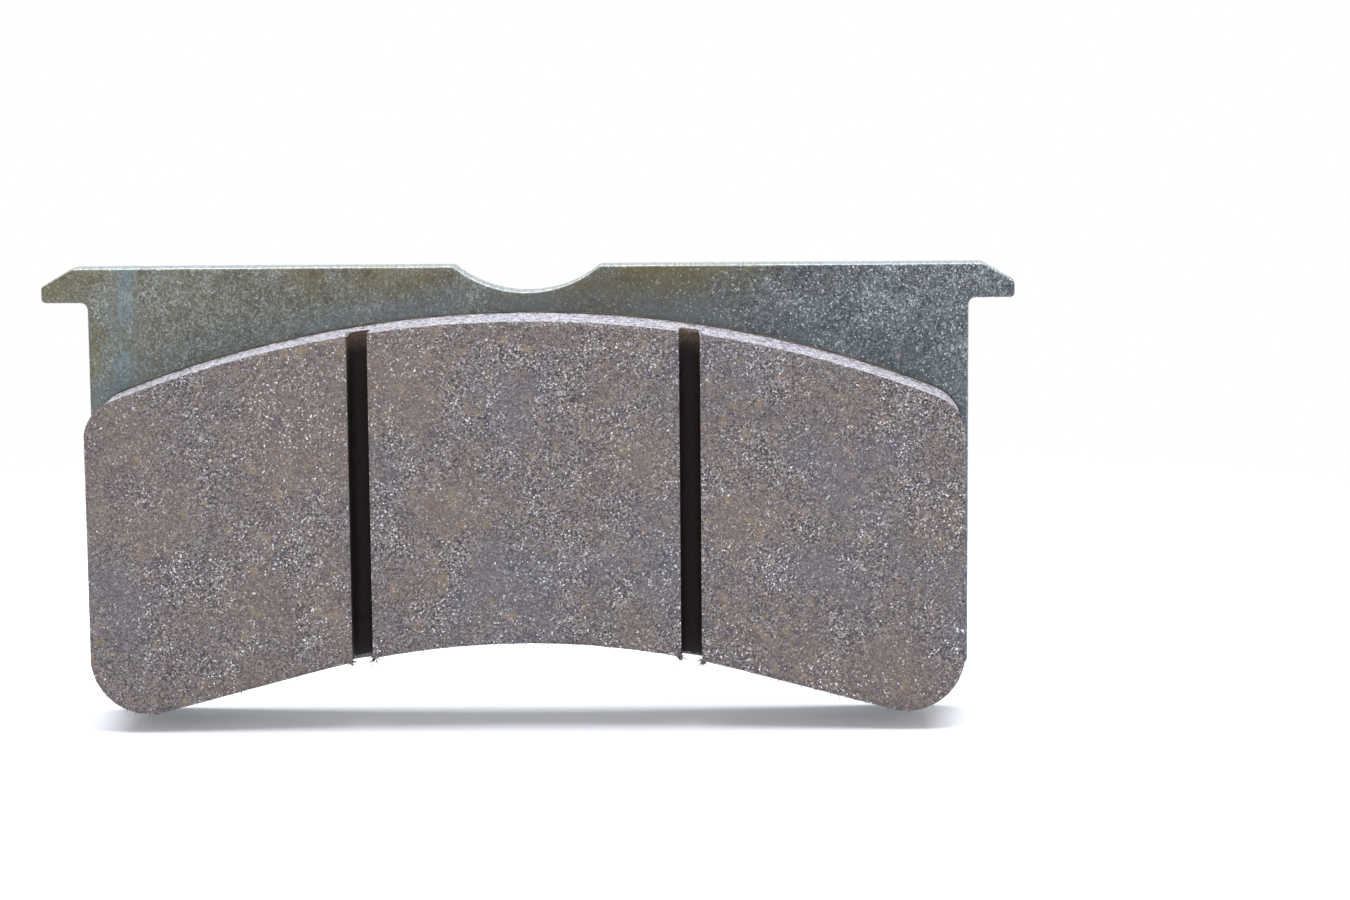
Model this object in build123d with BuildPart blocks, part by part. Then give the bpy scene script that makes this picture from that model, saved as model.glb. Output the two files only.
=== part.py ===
from build123d import *
import os
from math import acos, atan2, cos, hypot, sin, sqrt, tan

# A disc-brake pad for a racing caliper, stood on the two lower corners of its steel plate.
# +X runs along the pad, +Y points from the friction face to the steel back, and +Z points
# outwards from the wheel's axle. The origin is the middle of the pad's box, at its lowest level.
# All sizes are in millimetres.

# Thickness of each layer, from the steel back to the friction face
plate_thickness = 4.9
film_thickness = 0.15
underlayer_thickness = 1.85
block_thickness = 9.6

# Backing plate
plate_width = 119.5
plate_height = 61.8
ear_reach = 6.25
ear_height = 4.7
ear_slope_run = 4.3
ear_slope_drop = 2.5
ear_top_round = 0.8
ear_tip_round = 0.6
ear_root_round = 1.0
notch_width = 19.9
notch_depth = 3.55
notch_lip_round = 1.0
plate_arch_rise = 9.95
corner_cut_width = 7.55
corner_cut_height = 7.3
side_corner_round = 1.0
foot_round = 1.0
die_roll = 0.35

# Retention holes, punched through the plate and filled by the underlayer's plugs
hole_diameter = 10.0
inner_hole_offset = 15.0
inner_hole_height = 34.5
outer_hole_inset = 17.75
outer_hole_height = 28.0
plug_clearance = 0.05
plug_recess = 0.4

# Lining outline: a crown arc above, and below it an arch whose straight legs end in round lobes.
# The margins are what the plate shows beyond it: at its sides, above its arch's middle, above
# its sharp foot corners and inside its corner cuts.
side_margin = 0.95
crown_drop = 6.2
crown_radius = 151.0
crown_round = 5.6
arch_radius = 111.0
arch_margin = 2.25
leg_margin = 2.15
lobe_margin = 0.65
film_overhang = 0.25

# Dust slots across the friction face
slot_spacing = 44.2
slot_width = 2.75
slot_depth = 4.65
slot_bottom_round = 1.1

# Levels that the layers share, measured towards the friction face from the pad's middle
lining_thickness = film_thickness + underlayer_thickness + block_thickness
plate_back = -(plate_thickness + lining_thickness) / 2
plate_front = plate_back + plate_thickness
film_front = plate_front + film_thickness
block_back = film_front + underlayer_thickness
friction_face = block_back + block_thickness

# Plate outline. The foot's round rises above its sharp corner, so that corner lies a little
# below the pad's lowest level.
plate_side = plate_width / 2
ear_tip = plate_side + ear_reach
ear_underside = plate_height - ear_height
foot_x = plate_side - corner_cut_width
arch_end_angle = 2 * atan2(plate_arch_rise, foot_x)
cut_angle = atan2(corner_cut_height, corner_cut_width)
foot_sine_ratio = (sin(arch_end_angle) + sin(cut_angle)) / sin(arch_end_angle + cut_angle)
foot_level = foot_round * (1 - foot_sine_ratio)
plate_arch_top = foot_level + plate_arch_rise

# Lining outline. Each leg is the tangent from the arch's circle to a point above the foot.
lining_side = plate_side - side_margin
crown_top = plate_height - crown_drop
crown_end = crown_top - crown_radius + sqrt(crown_radius**2 - lining_side**2)
lining_arch_top = plate_arch_top + arch_margin
leg_foot_rise = foot_level + leg_margin - (lining_arch_top - arch_radius)
leg_angle = atan2(foot_x, leg_foot_rise) - acos(arch_radius / hypot(foot_x, leg_foot_rise))
leg_start_x = arch_radius * sin(leg_angle)
leg_start_level = lining_arch_top - arch_radius * (1 - cos(leg_angle))
leg_end_level = leg_start_level - (lining_side - leg_start_x) * tan(leg_angle)

# A lobe's round touches the side and the leg, and keeps its margin to the corner cut. Its
# centre lies lobe_round inside the side and lobe_round above the leg.
side_to_cut = (leg_end_level - foot_level) * cos(cut_angle) - (lining_side - foot_x) * sin(cut_angle)
centre_gain = (tan(leg_angle) + 1 / cos(leg_angle)) * cos(cut_angle) + sin(cut_angle)
lobe_round = (side_to_cut - lobe_margin) / (1 - centre_gain)

outer_hole_x = lining_side - outer_hole_inset
hole_rows = ((inner_hole_offset, inner_hole_height), (outer_hole_x, outer_hole_height))
hole_centres = [(side * offset_x, height) for offset_x, height in hole_rows for side in (-1, 1)]


def lining_outline(level: float, overhang: float = 0) -> Sketch:
    """The lining's outline at a level, grown outwards by overhang."""
    with BuildSketch(Plane.XZ.offset(level)) as outline:
        with BuildLine():
            ThreePointArc((-lining_side, crown_end), (0, crown_top), (lining_side, crown_end))
            Polyline(
                (lining_side, crown_end),
                (lining_side, leg_end_level),
                (leg_start_x, leg_start_level),
            )
            mirror(edges().filter_by(GeomType.LINE), about=Plane.YZ)
            ThreePointArc(
                (-leg_start_x, leg_start_level),
                (0, lining_arch_top),
                (leg_start_x, leg_start_level),
            )
        make_face()
        crown_corners = outline.vertices().group_by(Axis.Y)[-1]
        fillet(crown_corners, crown_round)
        lobe_corners = outline.vertices().group_by(Axis.Y)[0]
        fillet(lobe_corners, lobe_round)
        if overhang:
            offset(amount=overhang)
    return outline.sketch


# Backing plate: stamped steel with two ears, a notch between them and two cut lower corners
with BuildPart() as backing_plate:
    with BuildSketch(Plane.XZ.offset(plate_back)) as plate_outline:
        with BuildLine():
            FilletPolyline(
                (notch_width / 2, plate_height),
                (ear_tip - ear_slope_run, plate_height),
                (ear_tip, plate_height - ear_slope_drop),
                (ear_tip, ear_underside),
                (plate_side, ear_underside),
                (plate_side, foot_level + corner_cut_height),
                (foot_x, foot_level),
                radius=[ear_top_round, ear_tip_round, ear_tip_round, ear_root_round, side_corner_round],
            )
            mirror(about=Plane.YZ)
            ThreePointArc((-foot_x, foot_level), (0, plate_arch_top), (foot_x, foot_level))
            ThreePointArc(
                (-notch_width / 2, plate_height),
                (0, plate_height - notch_depth),
                (notch_width / 2, plate_height),
            )
        make_face()
        feet = plate_outline.vertices().group_by(Axis.Y)[0]
        fillet(feet, foot_round)
        notch_lips = plate_outline.vertices().group_by(Axis.Y)[-1].sort_by(Axis.X)[1:-1]
        fillet(notch_lips, notch_lip_round)
    extrude(amount=plate_thickness)
    front_rim = backing_plate.faces().sort_by(Axis.Y)[0].outer_wire().edges()
    fillet(front_rim, die_roll)
    with BuildSketch(Plane.XZ.offset(plate_back)):
        with Locations(*hole_centres):
            Circle(hole_diameter / 2)
    extrude(amount=plate_thickness, mode=Mode.SUBTRACT)

# Bond film: cured adhesive that squeezes out a little all round the lining
with BuildPart() as bond_film:
    extrude(lining_outline(plate_front, film_overhang), amount=film_thickness)
    with BuildSketch(Plane.XZ.offset(plate_front)):
        with Locations(*hole_centres):
            Circle(hole_diameter / 2)
    extrude(amount=film_thickness, mode=Mode.SUBTRACT)

# Underlayer: the thermal barrier, with a plug in each retention hole
with BuildPart() as underlayer:
    extrude(lining_outline(film_front), amount=underlayer_thickness)
    with BuildSketch(Plane.XZ.offset(film_front)):
        with Locations(*hole_centres):
            Circle(hole_diameter / 2 - plug_clearance)
    extrude(amount=-(film_thickness + plate_thickness - plug_recess))

# Friction block: one moulding with two blind slots that let dust and gas out
with BuildPart() as friction_block:
    extrude(lining_outline(block_back), amount=block_thickness)
    with BuildSketch(Plane.XY) as slot_section:
        with Locations((-slot_spacing / 2, -friction_face), (slot_spacing / 2, -friction_face)):
            Rectangle(slot_width, 2 * slot_depth)
        fillet(slot_section.vertices().group_by(Axis.Y)[-1], slot_bottom_round)
    extrude(amount=plate_height, mode=Mode.SUBTRACT)

backing_plate.part.label = "backing_plate"
bond_film.part.label = "bond_film"
underlayer.part.label = "underlayer"
friction_block.part.label = "friction_block"

os.makedirs("parts", exist_ok=True)
for piece in (backing_plate, bond_film, underlayer, friction_block):
    export_step(piece.part, f"parts/{piece.part.label}.step")
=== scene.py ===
# Looks of a racing disc-brake pad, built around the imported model. Lengths are in millimetres
# until a mesh is written, and +X runs along the pad, +Y from the friction face to the steel
# back, +Z away from the wheel's axle.

import logging
import math
from dataclasses import dataclass, field
from enum import Enum
from functools import cached_property

import bmesh
import bpy
import numpy as np
from mathutils import Matrix, Vector, geometry


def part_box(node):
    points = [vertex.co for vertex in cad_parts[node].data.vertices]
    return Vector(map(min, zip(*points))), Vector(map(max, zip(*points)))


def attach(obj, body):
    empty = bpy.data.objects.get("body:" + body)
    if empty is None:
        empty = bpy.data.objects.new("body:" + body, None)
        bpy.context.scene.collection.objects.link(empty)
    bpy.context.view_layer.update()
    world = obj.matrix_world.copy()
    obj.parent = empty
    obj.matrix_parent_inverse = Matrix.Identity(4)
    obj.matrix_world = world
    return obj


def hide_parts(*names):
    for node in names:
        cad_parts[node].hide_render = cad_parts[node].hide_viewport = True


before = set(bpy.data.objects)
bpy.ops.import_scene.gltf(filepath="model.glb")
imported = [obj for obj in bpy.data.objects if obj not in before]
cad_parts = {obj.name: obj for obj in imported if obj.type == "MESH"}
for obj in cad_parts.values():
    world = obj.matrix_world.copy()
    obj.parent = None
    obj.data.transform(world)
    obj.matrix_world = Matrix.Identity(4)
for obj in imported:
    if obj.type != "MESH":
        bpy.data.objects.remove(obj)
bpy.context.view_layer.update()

log = logging.getLogger("brake_pad")
METRES = 0.001
ROOT_BODY = "root"


# ---------------------------------------------------------------------------------------------
# Noise and grids, as whole arrays
# ---------------------------------------------------------------------------------------------


def cell_random(cells: np.ndarray, seed: int) -> np.ndarray:
    """One number for each lattice cell: its indices times large primes, mixed bit by bit.

    Args:
        cells: integer cell indices, (..., 3).
        seed: which of many unrelated sets of numbers to use.

    Returns:
        Numbers in 0 to 1, (...).
    """
    keys = (cells * np.array([73856093, 19349663, 83492791])).astype(np.uint64)
    word = np.uint64(0xFFFFFFFF)
    mixed = (keys[..., 0] ^ keys[..., 1] ^ keys[..., 2] ^ np.uint64(seed * 2654435761)) & word
    for shift, factor in ((15, 0x2C1B3C6D), (12, 0x297A2D39), (15, 1)):
        mixed ^= mixed >> np.uint64(shift)
        mixed = (mixed * np.uint64(factor)) & word
    return mixed / float(2**32)


def value_noise(points: np.ndarray, size: float, seed: int) -> np.ndarray:
    """Smooth noise: lattice numbers blended by 3t^2 - 2t^3 of the place within the cell.

    Args:
        points: places, (..., 3).
        size: distance between lattice points.
        seed: which noise.

    Returns:
        Values in -1 to 1, (...).
    """
    scaled = points / size
    cell = np.floor(scaled).astype(np.int64)
    blend = scaled - cell
    blend = blend * blend * (3 - 2 * blend)
    total = np.zeros(points.shape[:-1])
    for corner in np.ndindex(2, 2, 2):
        weight = np.prod(np.where(np.array(corner, bool), blend, 1 - blend), axis=-1)
        total += weight * cell_random(cell + corner, seed)
    return 2 * total - 1


def fractal(points: np.ndarray, size: float, octaves: int, seed: int) -> np.ndarray:
    """Sum of octaves of value noise, each half the size and half the height of the last.

    Args:
        points: places, (..., 3).
        size: size of the largest bumps.
        octaves: how many sizes of bump.
        seed: which noise.

    Returns:
        Values in -1 to 1, (...).
    """
    layers = [value_noise(points, size / 2**k, seed + k) / 2**k for k in range(octaves)]
    return sum(layers) / (2 - 2.0 ** (1 - octaves))


def bowls(points: np.ndarray, spacing: float, radius: float, share: float, seed: int) -> np.ndarray:
    """Depth of scattered bowls: 1 - (distance / radius)^2 about the centre that a cell may hold.

    Args:
        points: places, (..., 3).
        spacing: cell size, one centre at most in each.
        radius: largest bowl radius, up to the spacing.
        share: share of the cells that hold a bowl.
        seed: which scatter.

    Returns:
        Depths, 0 outside every bowl and 1 at a bowl's middle, (...).
    """
    cell = np.floor(points / spacing).astype(np.int64)
    depth = np.zeros(points.shape[:-1])
    for step in np.ndindex(3, 3, 3):
        near = cell + np.array(step) - 1
        jitter = np.stack([cell_random(near, seed + axis) for axis in range(3)], axis=-1)
        reach = radius * (0.45 + 0.55 * cell_random(near, seed + 3))
        distance = np.linalg.norm(points - (near + jitter) * spacing, axis=-1)
        held = cell_random(near, seed + 4) < share
        depth = np.maximum(depth, np.where(held, 1 - (distance / reach) ** 2, 0))
    return depth


def grid_quads(index: np.ndarray, closed: bool = False) -> np.ndarray:
    """Quads between neighbouring rows and columns of a grid of vertex indices.

    Args:
        index: vertex indices, (rows, columns).
        closed: whether the last column joins the first.

    Returns:
        Vertex indices of each quad, (quads, 4).
    """
    if closed:
        index = np.concatenate([index, index[:, :1]], axis=1)
    corners = (index[:-1, :-1], index[1:, :-1], index[1:, 1:], index[:-1, 1:])
    return np.stack(corners, axis=-1).reshape(-1, 4)


def make_piece(name: str, points: np.ndarray, faces: list, smooth_degrees: float = 180) -> bpy.types.Object:
    """A closed mesh object at the origin, its faces turned outwards.

    Args:
        name: the object's name.
        points: vertices in millimetres, (n, 3).
        faces: arrays of faces, (m, corners) each, or lists of one face's vertex indices.
        smooth_degrees: edges that turn by more than this stay sharp.

    Returns:
        The new object, linked to the scene.
    """
    mesh = bpy.data.meshes.new(name)
    corners = [face for group in faces for face in np.atleast_2d(group).tolist()]
    mesh.from_pydata(points * METRES, [], corners)
    shell = bmesh.new()
    shell.from_mesh(mesh)
    bmesh.ops.recalc_face_normals(shell, faces=shell.faces)
    shell.to_mesh(mesh)
    shell.free()
    mesh.shade_smooth()
    if smooth_degrees < 180:
        mesh.set_sharp_from_angle(angle=math.radians(smooth_degrees))
    piece = bpy.data.objects.new(name, mesh)
    bpy.context.scene.collection.objects.link(piece)
    return piece


def vertex_normals(piece: bpy.types.Object) -> np.ndarray:
    """The piece's vertex normals, (n, 3)."""
    normals = np.empty(len(piece.data.vertices) * 3)
    piece.data.vertex_normals.foreach_get("vector", normals)
    return normals.reshape(-1, 3)


def move_vertices(piece: bpy.types.Object, points: np.ndarray) -> None:
    """Put the piece's vertices at points, in millimetres, (n, 3)."""
    piece.data.vertices.foreach_set("co", (points * METRES).ravel())
    piece.data.update()


def set_attribute(piece: bpy.types.Object, name: str, values: np.ndarray) -> None:
    """Store one number for each vertex under a name that a material reads."""
    attribute = piece.data.attributes.new(name, "FLOAT", "POINT")
    attribute.data.foreach_set("value", values.astype(np.float32).ravel())


# ---------------------------------------------------------------------------------------------
# Shader maths
# ---------------------------------------------------------------------------------------------


def linear(*srgb: int) -> tuple:
    """An sRGB colour, 0 to 255 a channel, as linear light with alpha."""
    shares = [channel / 255 for channel in srgb]
    light = [share / 12.92 if share <= 0.04045 else ((share + 0.055) / 1.055) ** 2.4 for share in shares]
    return (*light, 1.0)


class Term:
    """A shader socket that takes part in Python expressions, each operator adding a Math node."""

    def __init__(self, graph: "Graph", socket: bpy.types.NodeSocket) -> None:
        """Wrap a socket of a graph."""
        self.graph = graph
        self.socket = socket

    def maths(self, operation: str, *values: "Term | float", clamp: bool = False) -> "Term":
        """The result of one Math node on the given values."""
        settings = {"operation": operation, "use_clamp": clamp}
        return self.graph.node("ShaderNodeMath", settings, dict(enumerate(values)))

    def __add__(self, other: "Term | float") -> "Term":
        """Sum."""
        return self.maths("ADD", self, other)

    def __sub__(self, other: "Term | float") -> "Term":
        """Difference."""
        return self.maths("SUBTRACT", self, other)

    def __rsub__(self, other: "Term | float") -> "Term":
        """Difference from a number."""
        return self.maths("SUBTRACT", other, self)

    def __mul__(self, other: "Term | float") -> "Term":
        """Product."""
        return self.maths("MULTIPLY", self, other)

    def __truediv__(self, other: "Term | float") -> "Term":
        """Quotient."""
        return self.maths("DIVIDE", self, other)

    def __pow__(self, other: "Term | float") -> "Term":
        """Power."""
        return self.maths("POWER", self, other)

    __radd__ = __add__
    __rmul__ = __mul__

    def step(self, low: float, high: float) -> "Term":
        """0 below low, 1 above high, smooth between; low above high turns it round."""
        turned = low > high
        stops = {1: min(low, high), 2: max(low, high), 3: float(turned), 4: float(not turned)}
        return self.graph.node(
            "ShaderNodeMapRange", {"interpolation_type": "SMOOTHSTEP"}, {0: self, **stops}
        )

    def larger(self, other: "Term | float") -> "Term":
        """The larger of two values."""
        return self.maths("MAXIMUM", self, other)

    def unsigned(self) -> "Term":
        """The value without its sign."""
        return self.maths("ABSOLUTE", self)


class Graph:
    """The node tree of a material or the world, with its pattern's coordinates in millimetres."""

    def __init__(self, owner: bpy.types.Material | bpy.types.World) -> None:
        """Empty the owner's tree."""
        owner.use_nodes = True
        self.owner = owner
        self.tree = owner.node_tree
        self.tree.nodes.clear()

    @cached_property
    def place(self) -> Term:
        """Object coordinates in millimetres."""
        metres = self.node("ShaderNodeTexCoord", output="Object")
        return self.node("ShaderNodeVectorMath", {"operation": "SCALE"}, {0: metres, "Scale": 1 / METRES})

    @cached_property
    def axes(self) -> tuple:
        """The three coordinates in millimetres, one Term each."""
        parts = self.node("ShaderNodeSeparateXYZ", None, {0: self.place})
        return tuple(Term(self, socket) for socket in parts.socket.node.outputs)

    def node(
        self, kind: str, settings: dict | None = None, inputs: dict | None = None, output: str | int = 0
    ) -> Term:
        """Add a node.

        Args:
            kind: the node's type name.
            settings: its own properties, set first; "stops" fills a colour ramp.
            inputs: values or Terms by socket name, identifier or number.
            output: which output to return.

        Returns:
            The chosen output.
        """
        made = self.tree.nodes.new(kind)
        for key, value in (settings or {}).items():
            if key == "stops":
                self._fill_ramp(made.color_ramp, value)
            else:
                setattr(made, key, value)
        for key, value in (inputs or {}).items():
            socket = self._pick(made.inputs, key)
            if isinstance(value, Term):
                self.tree.links.new(value.socket, socket)
            else:
                socket.default_value = value
        return Term(self, self._pick(made.outputs, output) if made.outputs else None)

    @staticmethod
    def _pick(sockets: bpy.types.bpy_prop_collection, key: str | int) -> bpy.types.NodeSocket:
        """The socket with this number, identifier or name."""
        if isinstance(key, int):
            return sockets[key]
        matches = [socket for socket in sockets if key in (socket.identifier, socket.name)]
        return next((socket for socket in matches if socket.enabled), matches[0])

    @staticmethod
    def _fill_ramp(ramp: bpy.types.ColorRamp, stops: list) -> None:
        """Give a colour ramp its stops, (place, colour) each."""
        while len(ramp.elements) < len(stops):
            ramp.elements.new(0.5)
        for element, (place, colour) in zip(ramp.elements, stops):
            element.position = place
            element.color = colour

    def attribute(self, name: str) -> Term:
        """A number stored on the mesh."""
        return self.node("ShaderNodeAttribute", {"attribute_name": name}, output="Fac")

    def stretched(self, *factors: float) -> Term:
        """The coordinates with each axis multiplied by its factor."""
        return self.node("ShaderNodeMapping", None, {"Vector": self.place, "Scale": factors})

    def turned(self, degrees: float, length: float) -> Term:
        """The coordinates turned about the Y axis, with marks drawn out to a length times their width."""
        settings = {"vector_type": "TEXTURE"}
        inputs = {"Vector": self.place, "Rotation": (0, math.radians(degrees), 0), "Scale": (1, 1, length)}
        return self.node("ShaderNodeMapping", settings, inputs)

    def warped(self, size: float, amount: float) -> Term:
        """The coordinates pushed about by up to half an amount, in patches of a size."""
        push = self.node("ShaderNodeTexNoise", None, {"Vector": self.place, "Scale": 1 / size}, "Color")
        settings = {"operation": "MULTIPLY_ADD"}
        return self.node("ShaderNodeVectorMath", settings, {0: push, 1: (amount,) * 3, 2: self.place})

    def noise(self, size: float, detail: float = 2, rough: float = 0.5, place: Term | None = None) -> Term:
        """Noise with features of a size in millimetres."""
        inputs = {"Vector": place or self.place, "Scale": 1 / size, "Detail": detail, "Roughness": rough}
        return self.node("ShaderNodeTexNoise", {"noise_dimensions": "3D"}, inputs, "Fac")

    def cells(self, size: float, place: Term | None = None) -> tuple:
        """Random cells of a size: three random numbers a cell, and the distance to its middle."""
        made = self.node("ShaderNodeTexVoronoi", None, {"Vector": place or self.place, "Scale": 1 / size})
        voronoi = made.socket.node
        parts = self.node("ShaderNodeSeparateColor", None, {0: Term(self, voronoi.outputs["Color"])})
        channels = [Term(self, socket) for socket in parts.socket.node.outputs]
        return (*channels, Term(self, voronoi.outputs["Distance"]))

    def mix(self, share: "Term | float", first: "Term | tuple", second: "Term | tuple", blend: str = "MIX") -> Term:
        """Two colours mixed, share of the second."""
        inputs = {"Factor_Float": share, "A_Color": first, "B_Color": second}
        return self.node("ShaderNodeMix", {"data_type": "RGBA", "blend_type": blend}, inputs, "Result_Color")

    def ramp(self, value: Term, stops: list) -> Term:
        """A colour read from a ramp at a value."""
        return self.node("ShaderNodeValToRGB", {"stops": stops}, {0: value}, "Color")

    def bump(self, height: Term, depth: float, below: Term | None = None, strength: float = 1.0) -> Term:
        """A normal bent by a height; depth is its range in millimetres, below an earlier bump."""
        inputs = {"Height": height, "Distance": depth * METRES, "Strength": strength}
        if below is not None:
            inputs["Normal"] = below
        return self.node("ShaderNodeBump", None, inputs, "Normal")

    def finish(self, **sockets: "Term | float | tuple") -> bpy.types.Material:
        """Feed the shader's sockets, named with underscores for spaces, and return the material."""
        inputs = {name.replace("_", " "): value for name, value in sockets.items()}
        surface = self.node("ShaderNodeBsdfPrincipled", None, inputs)
        self.node("ShaderNodeOutputMaterial", None, {"Surface": surface})
        return self.owner

    def seen_ray(self) -> Term:
        """1 for rays that show the background: straight, mirrored or through glass."""
        rays = self.node("ShaderNodeLightPath").socket.node.outputs
        camera, glossy, glass = (
            Term(self, rays[f"Is {kind} Ray"]) for kind in ("Camera", "Glossy", "Transmission")
        )
        return camera.larger(glossy).larger(glass)


# ---------------------------------------------------------------------------------------------
# Finishes
# ---------------------------------------------------------------------------------------------


@dataclass(frozen=True)
class CrownGap:
    """Distance outside the lining's crown arc, for patterns that follow it."""

    radius: float
    centre: float

    def on(self, graph: Graph) -> Term:
        """The distance in millimetres, below 0 inside the arc: length from its centre less its radius."""
        flat = graph.stretched(1.0, 0.0, 1.0)
        centre = (0.0, 0.0, self.centre)
        reach = graph.node("ShaderNodeVectorMath", {"operation": "DISTANCE"}, {0: flat, 1: centre}, "Value")
        return reach - self.radius


@dataclass(frozen=True)
class FrictionCompound:
    """Pressed friction compound: fine grains of many tones, flat on the ground face."""

    gap: CrownGap
    grain: float = 0.17
    tones: tuple = (
        (0.12, linear(38, 35, 46)),
        (0.34, linear(86, 79, 84)),
        (0.50, linear(122, 114, 112)),
        (0.66, linear(144, 136, 133)),
        (0.82, linear(178, 173, 174)),
        (0.96, linear(226, 226, 230)),
    )
    blue_tint: tuple = linear(206, 210, 255)
    tan_tint: tuple = linear(255, 238, 208)
    tan: tuple = linear(154, 135, 112)
    blue: tuple = linear(70, 72, 98)
    warm: tuple = linear(133, 117, 108)
    cool: tuple = linear(112, 114, 126)
    glint: tuple = linear(230, 234, 240)
    side_dark: tuple = linear(86, 86, 102)
    side_pale: tuple = linear(206, 203, 212)
    # Slot colours are painted light and shade: dark painted shade deep in the dust slots, painted light at their
    # open top ends.
    slot_painted_shade: tuple = linear(27, 17, 13)
    slot_painted_light: tuple = linear(104, 86, 70)

    def face(self, graph: Graph, tone: Term, tint: Term, spark: Term, mottle: Term) -> tuple:
        """The ground face's colour, and where its bare metal glints."""
        across = graph.axes[0]
        rough = graph.noise(6.5, 3, 0.6).step(0.40, 0.60) * across.step(-57.0, -47.0)
        contrast = 0.88 + 0.50 * rough
        value = 0.5 + (0.50 * tone + 0.50 * mottle - 0.5) * contrast + 0.16 * (graph.noise(2.6, 3) - 0.5)
        colour = graph.ramp(value, list(self.tones))
        colour = graph.mix(0.55 * tint.step(0.58, 0.92), colour, self.blue_tint, "MULTIPLY")
        colour = graph.mix(0.55 * tint.step(0.40, 0.10), colour, self.tan_tint, "MULTIPLY")
        drift = graph.noise(16, 2)
        colour = graph.mix(0.40 * drift.step(0.48, 0.66), colour, self.warm)
        colour = graph.mix(0.38 * drift.step(0.50, 0.32), colour, self.cool)
        blob = graph.noise(1.7, 2, 0.45).step(0.56, 0.72) * graph.noise(8, 2).step(0.38, 0.56)
        colour = graph.mix(blob * (0.45 + 0.3 * tint), colour, self.tan)
        cluster = graph.noise(2.0, 3, 0.6).step(0.52, 0.64) * graph.noise(9, 2).step(0.60, 0.44)
        colour = graph.mix(cluster * (0.15 + 0.65 * tint) * (0.3 + 0.7 * rough), colour, self.blue)
        glint = spark.step(0.962, 0.975) * (0.45 + 0.55 * rough)
        dash = graph.noise(0.26, 1, 0.5, graph.turned(48, 5)).step(0.75, 0.78)
        dash = dash.larger(graph.noise(0.24, 1, 0.5, graph.turned(-35, 4)).step(0.75, 0.78))
        glint = glint.larger(dash * 0.8)
        return graph.mix(glint * 0.85, colour, self.glint), glint

    def make(self) -> bpy.types.Material:
        """The material; it reads the attributes side and slot of the block's mesh."""
        graph = Graph(bpy.data.materials.new("friction_compound"))
        tone, tint, spark, _ = graph.cells(self.grain, graph.warped(0.4, 0.3))
        mottle = graph.noise(0.36, 3, 0.65)
        colour, glint = self.face(graph, tone, tint, spark, mottle)
        speck = (0.75 * graph.noise(0.75, 4, 0.7) + 0.25 * tone).step(0.45, 0.54)
        side_colour = graph.mix(speck * 0.85, self.side_dark, self.side_pale)
        side = graph.attribute("side").step(0.3, 0.7)
        colour = graph.mix(side, colour, side_colour)
        # Inside the dust slots: painted shade, turning to painted light near each slot's open top end.
        slot = graph.attribute("slot").step(0.02, 0.22)
        slot_painted_light_share = (self.gap.on(graph) + 2.2 * (mottle - 0.5)).step(-3.0, -0.6) * (0.35 + 0.65 * tone)
        slot_shade_and_light_colour = graph.mix(slot_painted_light_share, self.slot_painted_shade, self.slot_painted_light)
        colour = graph.mix(slot, colour, slot_shade_and_light_colour)
        fine = graph.bump(0.5 * tone + 0.5 * mottle, 0.05)
        coarse = graph.bump(graph.noise(0.9, 3, 0.6), 0.14, fine)
        metal = glint * (1 - side) * (1 - slot)
        return graph.finish(Base_Color=colour, Roughness=0.75 - 0.4 * metal, Metallic=metal * 0.9, Normal=coarse)


@dataclass(frozen=True)
class Underlay:
    """Thermal-barrier compound: as the friction compound, but browner and more even."""

    dark: tuple = linear(80, 76, 82)
    brown: tuple = linear(124, 114, 108)
    pale: tuple = linear(184, 180, 182)

    def make(self) -> bpy.types.Material:
        """The material."""
        graph = Graph(bpy.data.materials.new("underlayer"))
        tone, tint, _, _ = graph.cells(0.3, graph.warped(0.5, 0.35))
        value = 0.35 * tone + 0.65 * graph.noise(0.7, 4, 0.65)
        colour = graph.ramp(value, [(0.3, self.dark), (0.5, self.brown), (0.68, self.pale)])
        normal = graph.bump(value + 0.2 * tint, 0.12)
        return graph.finish(Base_Color=colour, Roughness=0.8, Normal=normal)


@dataclass(frozen=True)
class CuredFilm:
    """Cured adhesive: a dark amber resin with a slight shine."""

    amber: tuple = linear(78, 66, 54)
    dark: tuple = linear(34, 30, 28)

    def make(self) -> bpy.types.Material:
        """The material."""
        graph = Graph(bpy.data.materials.new("bond_film"))
        run = graph.noise(1.8, 3)
        colour = graph.mix(run.step(0.35, 0.65), self.dark, self.amber)
        return graph.finish(Base_Color=colour, Roughness=0.35, Normal=graph.bump(run, 0.05))


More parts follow.
